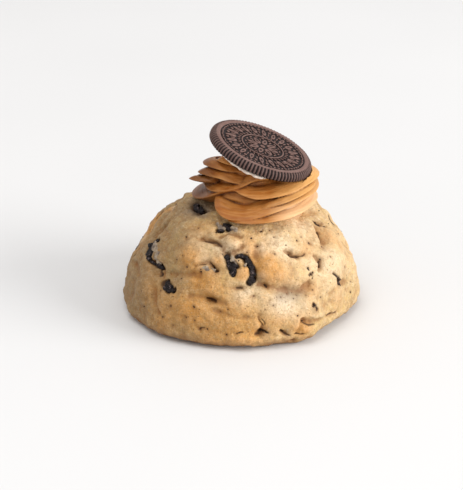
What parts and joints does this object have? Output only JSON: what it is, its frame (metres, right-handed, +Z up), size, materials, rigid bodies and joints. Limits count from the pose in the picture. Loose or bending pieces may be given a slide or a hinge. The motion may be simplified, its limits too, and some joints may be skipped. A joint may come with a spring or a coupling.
{
  "type": "loaded cookie",
  "caption": "Tall lumpy cookie with dark biscuit chunks, topped with a piped caramel icing swirl and a tilted fluted chocolate wafer biscuit.",
  "frame": {"origin": "centre of the cookie's flat underside, on the surface it rests on", "axes": "+Z up through the cookie's height, -Y toward the side that shows in the picture, +X toward the side the wafer leans down to"},
  "size_m": [0.098, 0.0962, 0.0743],
  "materials": {
    "dough": "baked, dry, slightly crumbly",
    "dark_biscuit": "matte, fine-grained",
    "icing": "smooth, soft sheen",
    "filling": "smooth, satin"
  },
  "bodies": {
    "root": {"cookie": "dough", "chunk_1": "dark_biscuit", "chunk_2": "dark_biscuit", "chunk_3": "dark_biscuit", "chunk_4": "dark_biscuit", "chunk_5": "dark_biscuit", "chunk_6": "dark_biscuit", "chunk_7": "dark_biscuit", "chunk_8": "dark_biscuit", "chunk_9": "dark_biscuit", "chunk_10": "dark_biscuit", "chunk_11": "dark_biscuit", "chunk_12": "dark_biscuit", "icing_swirl": "icing", "wafer": "dark_biscuit", "cream": "filling"}
  },
  "joints": []
}
